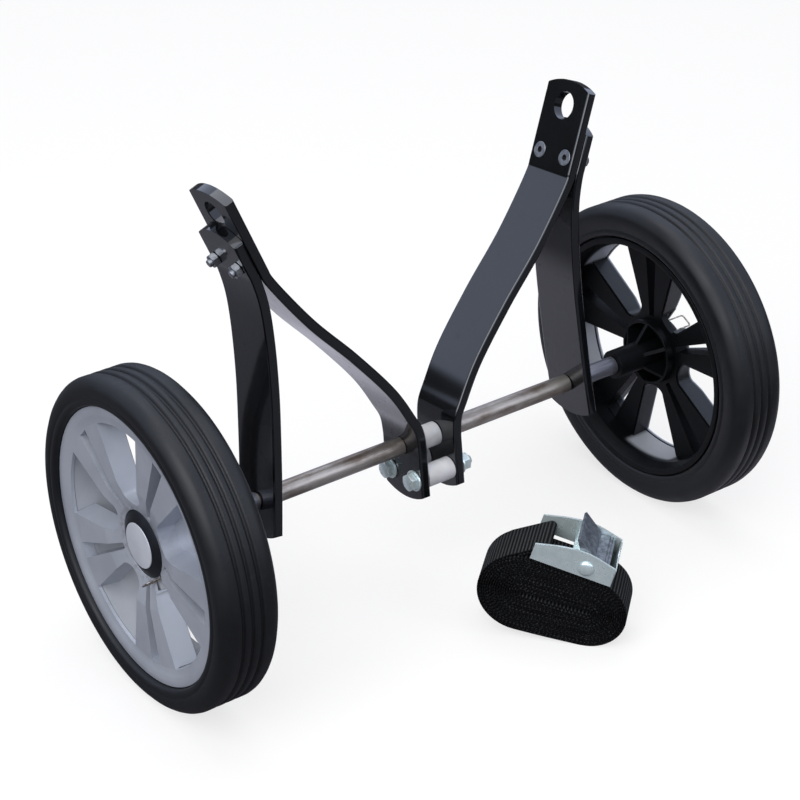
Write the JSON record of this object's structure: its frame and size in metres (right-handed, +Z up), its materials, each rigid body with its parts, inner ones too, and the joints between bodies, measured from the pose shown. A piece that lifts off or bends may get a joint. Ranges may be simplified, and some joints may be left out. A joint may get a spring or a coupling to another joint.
{
  "type": "kayak cart",
  "caption": "Two-wheeled kayak cart with bent flat-bar saddle arms, a through axle, solid tyres on windowed hubs and a rolled cam-buckle strap.",
  "frame": {"origin": "middle of the footprint on the ground, halfway between the tyres, under the middle of the whole part's box", "axes": "+X along the axle from the left to the right wheel, +Y away from the rolled strap, the way the frame leans, +Z up"},
  "size_m": [0.535, 0.3066, 0.3816],
  "materials": {
    "tyre": "matt moulded rubber",
    "wheel_core": "moulded, slightly satin",
    "wheel_cover": "silver paint on plastic, satin",
    "hub_cone": "satin",
    "hub_cap": "silver, satin",
    "spring_wire": "drawn spring wire",
    "frame_bar": "gloss black powder coat",
    "fastener": "plated",
    "spacer": "matt",
    "axle": "drawn",
    "long_tube": "drawn, brownish",
    "short_tube": "satin",
    "webbing": "woven",
    "buckle": "bright zinc, slightly blue"
  },
  "bodies": {
    "frame": {"saddle_bar_right": "frame_bar", "saddle_bar_left": "frame_bar", "upright_right": "frame_bar", "upright_left": "frame_bar", "screw_left_front": "fastener", "screw_nut_left_front": "fastener", "screw_left_rear": "fastener", "screw_nut_left_rear": "fastener", "screw_right_front": "fastener", "screw_nut_right_front": "fastener", "screw_right_rear": "fastener", "screw_nut_right_rear": "fastener", "bolt_front": "fastener", "bolt_nut_front": "fastener", "bolt_washer_left_front": "fastener", "bolt_washer_right_front": "fastener", "spacer_front": "spacer", "bolt_rear": "fastener", "bolt_nut_rear": "fastener", "bolt_washer_left_rear": "fastener", "bolt_washer_right_rear": "fastener", "spacer_rear": "spacer", "axle_rod": "axle", "sleeve_centre": "spacer", "tube_long_right": "long_tube", "tube_long_left": "long_tube", "tube_short_right": "short_tube", "tube_short_left": "short_tube"},
    "wheel_left": {"tyre_left": "tyre", "wheel_core_left": "wheel_core", "wheel_cover_left": "wheel_cover", "hub_cone_left": "hub_cone", "hub_cap_left": "hub_cap"},
    "wheel_right": {"tyre_right": "tyre", "wheel_core_right": "wheel_core", "wheel_cover_right": "wheel_cover", "hub_cone_right": "hub_cone", "hub_cap_right": "hub_cap"},
    "clip_left": {"axle_clip_left": "spring_wire"},
    "clip_right": {"axle_clip_right": "spring_wire"},
    "strap_set": {"strap_webbing": "webbing", "buckle_body": "buckle", "buckle_pin": "buckle"},
    "cam_lever": {"buckle_lever": "buckle"}
  },
  "joints": [
    {"name": "wheel_spin_left", "type": "hinge", "parent": "frame", "child": "wheel_left", "pos_m": [-0.2425, 0.02334, 0.13], "axis": [1, 0, 0], "continuous": true},
    {"name": "wheel_spin_right", "type": "hinge", "parent": "frame", "child": "wheel_right", "pos_m": [0.2425, 0.02334, 0.13], "axis": [1, 0, 0], "continuous": true},
    {"name": "clip_pull_left", "type": "slide", "parent": "wheel_left", "child": "clip_left", "axis": [0, -0.6884, -0.7254], "range_m": [0, 0.007]},
    {"name": "clip_pull_right", "type": "slide", "parent": "wheel_right", "child": "clip_right", "axis": [0, -0.4337, 0.9011], "range_m": [0, 0.007]},
    {"name": "strap_lift", "type": "slide", "parent": "frame", "child": "strap_set", "axis": [0, 0, 1], "range_m": [0, 0.3]},
    {"name": "cam_lever_turn", "type": "hinge", "parent": "strap_set", "child": "cam_lever", "pos_m": [0.05668, -0.11642, 0.07387], "axis": [-0.7461, -0.6659, 0], "range_deg": [0, 34], "stiffness_Nm_per_rad": 0.05, "springref_deg": -17.19}
  ]
}
